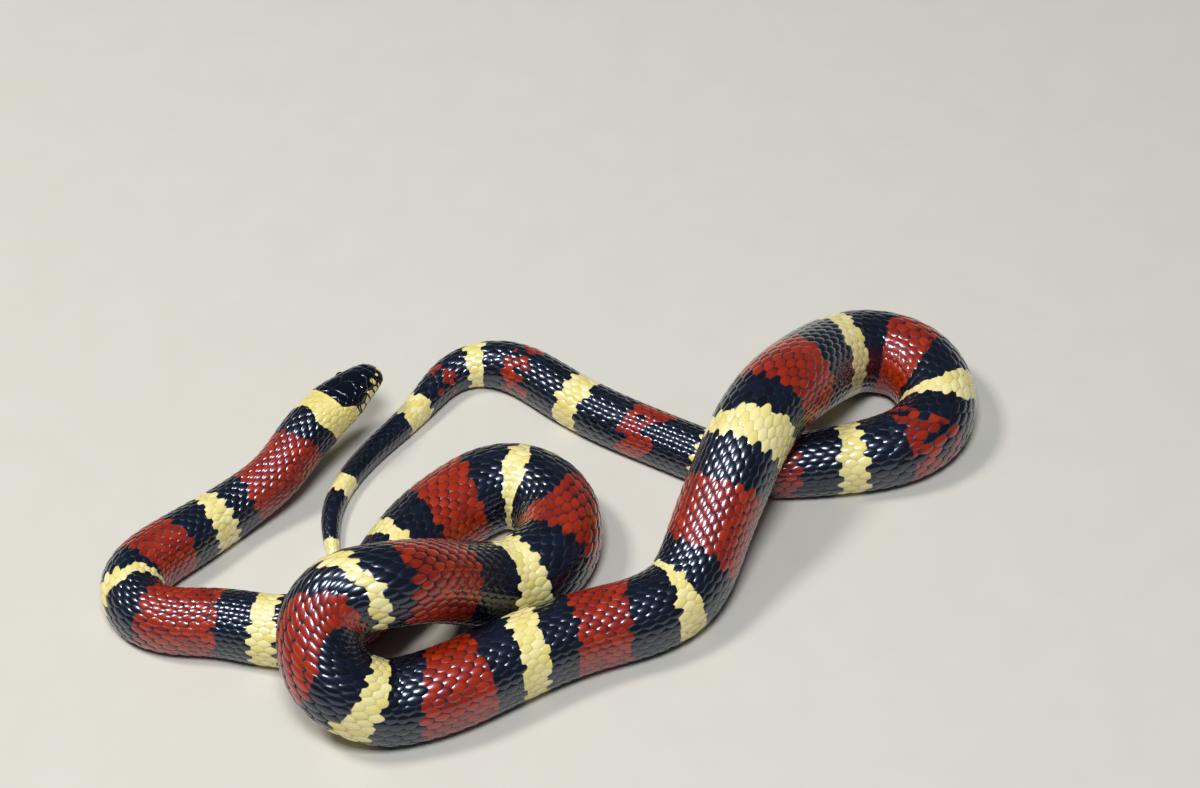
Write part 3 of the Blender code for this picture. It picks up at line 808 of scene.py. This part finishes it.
def scute_piece(name, runs, lengths, low, high):
    """Strips between two angles, sunk at the front and flush with the outer form at the rear."""
    along, across, quads = scute_template()
    count = len(runs)
    run, length = runs[:, None], lengths[:, None]
    full = np.minimum(1.0, width_at(run) / SCUTE_FULL_WIDTH)
    taper = 1.0 - SCUTE_TAPER * np.abs(across) ** TAPER_POWER
    at = run + (SCUTE_FRONT + (SCUTE_BACK - SCUTE_FRONT) * along * taper) * length
    at = np.clip(at, -SNOUT, LENGTH)
    angle = np.broadcast_to((low + high) / 2.0 + (high - low) / 2.0 * across, at.shape)
    side_drop = SCUTE_SIDE * np.abs(across) ** SIDE_POWER
    lift = (SCUTE_LOW * (1.0 - ramp(0.0, SCUTE_RISE, along)) - side_drop) * full - SCUTE_INSET
    points = np.concatenate([surface(at, angle, lift), surface(at, angle, lift - SCUTE_THICK * full)], axis=1)
    offset = (np.arange(count) * points.shape[1])[:, None, None]
    jitter = SCUTE_JITTER * rng.standard_normal((count, 1))
    cream, red = ring_colours(run + jitter, np.full((count, 1), math.pi))
    both_along, both_across = np.r_[along, along], np.r_[across, across]
    attributes = flat_attributes(
        points.shape[:2], cream=np.round(cream), red=np.round(red), shade=rng.random((count, 1)),
        tip=SCUTE_TIP * ramp(SCUTE_TIP_START, 1.0, both_along), rim=both_along)
    u, v = bake_place(run, (low + high) / 2.0 / math.pi * turn_arc[-1] - turn_arc[-1])
    v = np.clip(v, BAKE_MARGIN, 1.0 - BAKE_MARGIN) + BAKE_PATCH * both_across
    bake = np.stack(np.broadcast_arrays(u + 2.0 * BAKE_PATCH * (both_along - 0.5), v), axis=-1)
    return make_piece(name, points.reshape(-1, 3), [(quads + offset).reshape(-1, 4)], scute_finish,
                      attributes, bake.reshape(-1, 2), SHARP_EDGE)


scutes = np.array(scute_runs)
on_tail = scutes[:, 0] >= VENT
for name, chosen, low, high in (
    ("belly_scutes", ~on_tail, -HALF_SCUTE, HALF_SCUTE),
    ("tail_scutes_left", on_tail, -HALF_SCUTE, -TAIL_SEAM),
    ("tail_scutes_right", on_tail, TAIL_SEAM, HALF_SCUTE),
):
    pieces.append(scute_piece(name, *scutes[chosen].T, math.pi + low, math.pi + high))

# %% [markdown]
# ## The head shields
# A milk snake's head carries large plates in a fixed pattern: rostral at the tip, internasals and
# prefrontals, one frontal between the brows, and two parietals, with lip shields along the mouth.
# Plates cut one by one are hard to fit together, so here each shield grows round one or more
# seeds. A point belongs to its nearest seed, so borders are the midlines between seeds. The border
# distance then raises each plate and cuts the seam round it.

# %% Seeds of the shields: forward of the nape in mm, angle from the top in degrees
PAIRED = [
    [(22.7, 20)], [(20.0, 16), (19.9, 40)], [(16.0, 40), (13.8, 39)],
    [(11.2, 15), (8.8, 12), (11.2, 32), (9.3, 28)],
    [(23.5, 58)], [(21.9, 64)], [(20.0, 72)], [(17.8, 62)], [(12.0, 56)], [(12.2, 77)], [(9.6, 64)],
    [(9.4, 47)], [(7.0, 56)], [(7.1, 76)], [(6.2, 36)], [(5.6, 14)], [(4.4, 46)],
    [(3.4, 27)], [(3.2, 7)], [(21.3, 166), (19.8, 166)], [(17.6, 167), (15.8, 168)],
]
SINGLE = [
    [(24.7, 0), (24.6, 48), (24.6, 92), (25.2, 0)], [(17.0, 0), (15.6, 8), (14.4, 5), (13.0, 0)],
    [(24.0, 180), (24.3, 140)],
]
UPPER_LIPS = (22.6, 20.8, 18.7, 16.3, 13.6, 10.9, 8.2, 5.8)
LOWER_LIPS = (22.9, 21.2, 19.3, 17.0, 14.6, 12.0, 9.5, 7.2, 5.0)
UPPER_LIP_RISE = 1.25
LOWER_LIP_RISE = -1.15
# small scales under the chin, in rows that are shifted in turn, and on the cheeks
CHIN_ROWS = (13.6, 11.9, 10.2, 8.5, 6.8, 5.1, 3.4)
CHIN_TURNS = (132, 146, 160, 174)
CHIN_SHIFT = 7
CHEEK_ROWS = [(4.7, 63), (3.2, 56), (1.7, 7)]
CHEEK_STEP = 14
CHEEK_END = 126


def head_point(forward, angle):
    """Point in the head's own axes: forward, across and rise."""
    across, rise = outline(-forward, angle)
    return np.stack([forward, across, rise], axis=-1)


def turn_at_height(forward, height):
    """Angle at which the head's outline reaches a height: arc cosine of (height / size)^(n / 2)."""
    size = head_size(TOP if height > 0 else BOTTOM, np.array(forward))
    return float(np.arccos(np.sign(height) * (abs(height) / size) ** (HEAD_SQUARENESS / 2.0)))


seeds = []
labels = []


def add_shield(places, mirrored=True):
    """Adds a left and a right shield, or one on both sides, from places in mm and radians."""
    label = labels[-1] + 1 if labels else 0
    for k, hand in enumerate((1.0, -1.0)):
        for forward, angle in places:
            seeds.append(head_point(np.array(float(forward)), np.array(hand * angle)))
            labels.append(label + k if mirrored else label)


for shields, mirrored in ((PAIRED, True), (SINGLE, False)):
    for places in shields:
        add_shield([(forward, math.radians(angle)) for forward, angle in places], mirrored)
lip_starts = []
for lips, rise in ((UPPER_LIPS, UPPER_LIP_RISE), (LOWER_LIPS, LOWER_LIP_RISE)):
    lip_starts.append(labels[-1] + 1)
    for forward in lips:
        add_shield([(forward, turn_at_height(forward, float(mouth_line(np.array(forward))) + rise))])
for k, forward in enumerate(CHIN_ROWS):
    for angle in CHIN_TURNS:
        add_shield([(forward, math.radians(angle - CHIN_SHIFT * (k % 2)))])
for forward, first in CHEEK_ROWS:
    for angle in range(first, CHEEK_END, CHEEK_STEP):
        add_shield([(forward, math.radians(angle))])
seeds = np.array(seeds)
labels = np.array(labels)
print("shields:", labels.max() + 1, "from", len(seeds), "seeds")

# %% A fine grid over the head, with each point's shield and its distance from the border
HEAD_SIDES = 360
HEAD_ROWS = 270
ROUND_ROWS = 70
HEAD_BACK = 2.4
MEMORY_PARTS = 12

straight = np.linspace(HEAD_BACK, ROUND_FROM, HEAD_ROWS - ROUND_ROWS, endpoint=False)
rounded = ROUND_FROM + (SNOUT - ROUND_FROM) * np.sin(np.linspace(0.0, math.pi / 2.0, ROUND_ROWS + 1))[:-1]
head_forward = np.r_[straight, rounded]
head_angles = np.linspace(0.0, 2.0 * math.pi, HEAD_SIDES, endpoint=False)
forward_grid, angle_grid = np.meshgrid(head_forward, head_angles, indexing="ij")
local = head_point(forward_grid, angle_grid)


def border_distance(points):
    """Nearest seed's label, and distance to the midline with the nearest seed of another shield."""
    flat_points = points.reshape(-1, 3)
    square = ((flat_points[:, None, :] - seeds[None]) ** 2).sum(-1)
    nearest = square.argmin(1)
    own = labels[nearest]
    other = np.where(labels[None] == own[:, None], np.inf, square)
    rival = other.argmin(1)
    rows = np.arange(len(flat_points))
    apart = np.linalg.norm(seeds[nearest] - seeds[rival], axis=1)
    away = (square[rows, rival] - square[rows, nearest]) / (2.0 * apart)
    return own.reshape(points.shape[:-1]), away.reshape(points.shape[:-1])


def away_from(forward, angle):
    """Distance from a place on the head, or from its mirror image where that is nearer."""
    spots = [head_point(np.array(forward), np.array(hand * angle)) for hand in (1.0, -1.0)]
    return np.minimum(*[np.linalg.norm(local - spot, axis=-1) for spot in spots])


chunks = [border_distance(part) for part in np.array_split(local, MEMORY_PARTS)]
own_label = np.concatenate([part[0] for part in chunks])
away = np.concatenate([part[1] for part in chunks])
print(f"farthest point of a shield from its border: {away.max():.2f} mm")

# %% Raise the shields, cut the seams, the mouth, the nostrils and the eye sockets
SHIELD_LEVEL = -0.16
SHIELD_DOME = 0.16
SHIELD_EDGE = 0.55
SEAM_DEPTH = 0.15
SEAM_WIDTH = 0.17
MOUTH_DEPTH = 0.42
MOUTH_WIDTH = 0.24
MOUTH_END = (5.0, 7.0)
# a low brow stands round the eye, and the wall of the socket falls between two radii
EYE_FORWARD = 14.6
EYE_HEIGHT = 2.7
BROW_RAISE = 0.06
BROW_RADIUS = 1.65
BROW_WIDTH = 0.25
SOCKET_DEPTH = 1.4
SOCKET_WALL = (1.26, 1.48)
NOSTRIL_FORWARD = 23.0
NOSTRIL_HEIGHT = 0.9
NOSTRIL_DEPTH = 0.8
NOSTRIL_RADIUS = 0.36
NOSTRIL_RIM = 0.10
NOSTRIL_RIM_RADIUS = 0.55
NOSTRIL_RIM_WIDTH = 0.18
# the rear edge goes down under the scales
TUCK_DEPTH = 0.7
TUCK_LENGTH = 0.8

eye_away = away_from(EYE_FORWARD, turn_at_height(EYE_FORWARD, EYE_HEIGHT))
nostril_away = away_from(NOSTRIL_FORWARD, turn_at_height(NOSTRIL_FORWARD, NOSTRIL_HEIGHT))
mouth_away = np.abs(local[..., 2] - mouth_line(forward_grid))
relief = SHIELD_LEVEL + SHIELD_DOME * (1.0 - np.exp(-away / SHIELD_EDGE))
relief -= SEAM_DEPTH * bell(away, SEAM_WIDTH)
relief -= MOUTH_DEPTH * bell(mouth_away, MOUTH_WIDTH) * ramp(*MOUTH_END, forward_grid)
relief += BROW_RAISE * bell(eye_away - BROW_RADIUS, BROW_WIDTH)
relief -= SOCKET_DEPTH * (1.0 - ramp(*SOCKET_WALL, eye_away))
relief += NOSTRIL_RIM * bell(nostril_away - NOSTRIL_RIM_RADIUS, NOSTRIL_RIM_WIDTH)
relief -= NOSTRIL_DEPTH * bell(nostril_away, NOSTRIL_RADIUS)
relief -= TUCK_DEPTH * (1.0 - ramp(0.0, TUCK_LENGTH, forward_grid - HEAD_BACK))
print(f"relief of the head: {relief.min():.2f} to {relief.max():.2f} mm")

# %% Points and faces of the head
head_base = place(-forward_grid, angle_grid)
tangent_round = np.roll(head_base, -1, axis=1) - np.roll(head_base, 1, axis=1)
head_normal = np.cross(tangent_round, np.gradient(head_base, axis=0))
head_normal /= np.linalg.norm(head_normal, axis=-1, keepdims=True)
centre, forward = (row[0] for row in axis_at(np.array([-SNOUT]))[:2])
poles = [centre - forward * SHIELD_LEVEL, centre + forward * (SNOUT - HEAD_BACK)]
head_points = np.concatenate([(head_base + head_normal * relief[..., None]).reshape(-1, 3), poles])
front_row = (len(head_forward) - 1) * HEAD_SIDES + np.arange(HEAD_SIDES)
head_faces = [
    grid_faces(len(head_forward), HEAD_SIDES)[:, ::-1],
    np.concatenate([fan_faces(front_row, len(head_points) - 2, False),
                    fan_faces(np.arange(HEAD_SIDES), len(head_points) - 1, True)]),
]

# %% [markdown]
# The cap of the head is black. The upper lip shields have pale spots between dark seams, the snout
# has pale flecks, and the nape ring covers the cheeks. As distances from seams and places are
# known already, they draw these marks without a picture.

# %% Colours of the head
# forward of the nape, degrees from the top, size in mm
FLECKS = [(24.4, 41, 0.95), (21.9, 54, 0.6), (19.0, 60, 0.9), (19.2, 72, 0.8)]
FLECK_EDGE = (0.75, 1.1)
# the lips are pale between these places, and marks begin this far from a seam or the mouth
LIP_PALE_START = 8.9
LIP_PALE_END = 20.5
LIP_FADE = 0.5
FLECK_SEAM = (0.05, 0.2)
LIP_SEAM = (0.28, 0.5)
LIP_MOUTH = (0.25, 0.5)
HEAD_SHADE = 0.12
RIM_REACH = 0.3
RIM_FALL = 0.5

fleck = np.zeros(forward_grid.shape)
for forward_mm, degrees, size in FLECKS:
    inner, outer = (size * edge for edge in FLECK_EDGE)
    fleck = np.maximum(fleck, 1.0 - ramp(inner, outer, away_from(forward_mm, math.radians(degrees))))
on_lip = (own_label >= lip_starts[0]) & (own_label < lip_starts[1])
on_lip = on_lip * ramp(0.0, LIP_FADE, forward_grid - LIP_PALE_START)
on_lip = on_lip * (1.0 - ramp(0.0, LIP_FADE, forward_grid - LIP_PALE_END))
fleck = np.maximum(fleck * ramp(*FLECK_SEAM, away),
                   on_lip * ramp(*LIP_SEAM, away) * ramp(*LIP_MOUTH, mouth_away))
nape_cream, _ = ring_colours(-forward_grid, angle_grid)
label_shade = rng.random(labels.max() + 1)[own_label]
head_attributes = flat_attributes(
    forward_grid.shape, cream=np.maximum(nape_cream, fleck), red=0.0, shade=HEAD_SHADE * label_shade,
    tip=0.0, rim=1.0 - RIM_FALL * ramp(0.0, RIM_REACH, away))
head_attributes = {key: np.r_[values, 0.0, 0.0] for key, values in head_attributes.items()}
# the unwrap is cut under the chin, where the arc from the top of the head is longest
head_turn = np.degrees((angle_grid + math.pi) % (2.0 * math.pi) - math.pi).ravel()
head_u = BAKE_MARGIN + (1.0 - 2.0 * BAKE_MARGIN) * (SNOUT - forward_grid.ravel()) / SNOUT
head_v = HALF_HEIGHT + BAKE_ROUND * np.r_[head_turn, 0.0, 0.0] / 360.0
head_bake = np.column_stack([np.r_[head_u, 0.0, 1.0], head_v])
pieces.append(make_piece("head_shields", head_points, head_faces, shield_finish, head_attributes, head_bake))

# %% [markdown]
# ## The eyes
# A snake has no lids: each eye lies under one clear, domed scale. The iris is a very dark brown
# with a round pupil, so in the light the eye reads as a black bead with one bright spot. A clear
# shell over an inner ball would look no different at this size, so one glossy ball is enough.

# %% Two glossy eyes
EYE_GLOSS = {"Roughness": 0.06, "IOR": 1.42, "Coat Weight": 0.8, "Coat Roughness": 0.03}
# share of the way from the pupil's middle to the rim of the ball, and the colour there
IRIS_ENDS = [(0.0, "020202"), (1.0, "1a0f0a")]
IRIS_RINGS = [(0.34, "020202"), (0.39, "1c0c07"), (0.60, "100705"), (0.74, "040303")]
EYE_RADIUS = 1.9
EYE_FLAT = 0.86
EYE_SUNK = 1.7
EYE_SIDES = 48
EYE_ROWS = 28

eye_finish, eye_tree, eye_shader = new_finish("clear_spectacle_over_dark_iris", EYE_GLOSS)
from_pupil = add_node(eye_tree, "ShaderNodeAttribute", {}, "Fac", attribute_name="from_pupil")
iris = add_node(eye_tree, "ShaderNodeValToRGB", {"Fac": from_pupil}, "Color")
stops = iris.node.color_ramp.elements
for stop, (position, colour) in zip(stops, IRIS_ENDS):
    stop.position = position
    stop.color = linear(colour)
for position, colour in IRIS_RINGS:
    stops.new(position).color = linear(colour)
eye_tree.links.new(iris, eye_shader.inputs["Base Color"])

polar, spin = np.meshgrid(np.linspace(0.0, math.pi, EYE_ROWS)[1:-1],
                          np.linspace(0.0, 2.0 * math.pi, EYE_SIDES, endpoint=False), indexing="ij")
ball = np.stack([np.sin(polar) * np.cos(spin), np.cos(polar), np.sin(polar) * np.sin(spin)], axis=-1)
ball = np.concatenate([ball.reshape(-1, 3), [[0.0, 1.0, 0.0], [0.0, -1.0, 0.0]]])
ball = ball * EYE_RADIUS * np.array([1.0, EYE_FLAT, 1.0])
ball_faces = [
    grid_faces(len(polar), EYE_SIDES),
    np.concatenate([fan_faces(np.arange(EYE_SIDES), len(ball) - 2, False),
                    fan_faces((len(polar) - 1) * EYE_SIDES + np.arange(EYE_SIDES), len(ball) - 1, True)]),
]
pupil_share = np.r_[polar.ravel() / (math.pi / 2.0), 0.0, 1.0].clip(0.0, 1.0)
nape, forward, side, up = (row[0] for row in axis_at(np.array([0.0])))
wide = float(head_size(WIDE, np.array(EYE_FORWARD))) - EYE_SUNK
for name, hand in (("eye_left", 1.0), ("eye_right", -1.0)):
    ahead, across, rise = (ball * np.array([1.0, -hand, 1.0]) + [EYE_FORWARD, -hand * wide, EYE_HEIGHT]).T
    points = nape - ahead[:, None] * forward + across[:, None] * side + rise[:, None] * up
    # the left ball is a mirror image, so its faces are turned to point outwards
    faces = [part[:, ::-1] if hand > 0 else part for part in ball_faces]
    eye = make_piece(name + "_ball", points, faces, eye_finish, {"from_pupil": pupil_share})
    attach(eye, "root")
    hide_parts(name)

# %% Say what each piece stands for
BODY_NODES = [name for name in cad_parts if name.startswith(("neck", "torso", "tail"))]
for piece in pieces:
    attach(piece, "root")
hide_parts(*BODY_NODES, "head", "lower_jaw")
print("pieces besides the eyes:", len(pieces))

# %% [markdown]
# ## Floor, light and camera
# The snake lies on a plain pale floor. A warm lamp high on the left gives each scale its small
# sharp highlight. A broader, cooler one overhead and a faint sky fill the shadows, which together
# with painted blue sheen in the black pigment gives the black rings their blue-grey gloss. The
# camera looks down at 45 degrees through a long lens.

# %% Floor
FLOOR_HALF = 6.0
# uncoated paper is matt, so the floor shows soft shadows and no gloss
PAPER = ("c6c0b5", "cbc6bb")
PAPER_ROUGH = 0.85
# noise cells in a metre: soft patches 17 mm across
PAPER_GRAIN = {"Scale": 60.0, "Detail": 4.0}

floor_mesh = bpy.data.meshes.new("floor")
floor_mesh.from_pydata([(-FLOOR_HALF, -FLOOR_HALF, 0), (FLOOR_HALF, -FLOOR_HALF, 0),
                        (FLOOR_HALF, FLOOR_HALF, 0), (-FLOOR_HALF, FLOOR_HALF, 0)], [], [(0, 1, 2, 3)])
floor = bpy.data.objects.new("floor", floor_mesh)
bpy.context.scene.collection.objects.link(floor)
paper, paper_tree, paper_shader = new_finish("pale_studio_paper", {"Roughness": PAPER_ROUGH})
where = add_node(paper_tree, "ShaderNodeTexCoord", {}, "Object")
grain = add_node(paper_tree, "ShaderNodeTexNoise", {"Vector": where, **PAPER_GRAIN}, "Fac")
links = {MIX_FACTOR: grain, MIX_A: linear(PAPER[0]), MIX_B: linear(PAPER[1])}
tint = add_node(paper_tree, "ShaderNodeMix", links, MIX_OUT, data_type="RGBA")
paper_tree.links.new(tint, paper_shader.inputs["Base Color"])
floor_mesh.materials.append(paper)

# %% Lamps and sky
# name, direction it shines from, distance and size in metres, watts, colour
LAMPS = [
    ("key", (-0.52, 0.05, 0.84), 1.7, 0.33, 15.8, (1.0, 0.98, 0.95)),
    ("sky", (-0.04, -0.36, 0.93), 1.8, 0.50, 27.0, (0.90, 0.95, 1.0)),
]
SKY_COLOUR = "c4d2e8"
SKY_STRENGTH = 0.12

for name, direction, distance, size, watts, colour in LAMPS:
    data = bpy.data.lights.new(name, "AREA")
    data.energy = watts
    data.size = size
    data.color = colour
    thing = bpy.data.objects.new(name, data)
    # it stands off along the direction and faces the middle of the snake
    x, y, z = np.array(direction) / np.linalg.norm(direction)
    thing.location = (x * distance, y * distance, z * distance)
    thing.rotation_euler = (math.atan2(math.hypot(x, y), z), 0.0, math.atan2(y, x) + math.pi / 2.0)
    bpy.context.scene.collection.objects.link(thing)
world = bpy.data.worlds.new("studio")
world.use_nodes = True
world.node_tree.nodes["Background"].inputs["Color"].default_value = linear(SKY_COLOUR)
world.node_tree.nodes["Background"].inputs["Strength"].default_value = SKY_STRENGTH
bpy.context.scene.world = world
bpy.context.scene.view_settings.view_transform = "Standard"

# %% Camera
TARGET = (0.01566, 0.06540, 0.0)
TILT = math.radians(45.0)
DISTANCE = 1.05
LENS = 95.45
SENSOR = 36.0

camera_data = bpy.data.cameras.new("camera")
camera_data.lens = LENS
camera_data.sensor_width = SENSOR
camera = bpy.data.objects.new("camera", camera_data)
camera.location = (TARGET[0], TARGET[1] - DISTANCE * math.cos(TILT), DISTANCE * math.sin(TILT))
camera.rotation_euler = (math.pi / 2.0 - TILT, 0.0, 0.0)
bpy.context.scene.collection.objects.link(camera)
bpy.context.scene.camera = camera
print("camera stands", DISTANCE, "m from", TARGET)
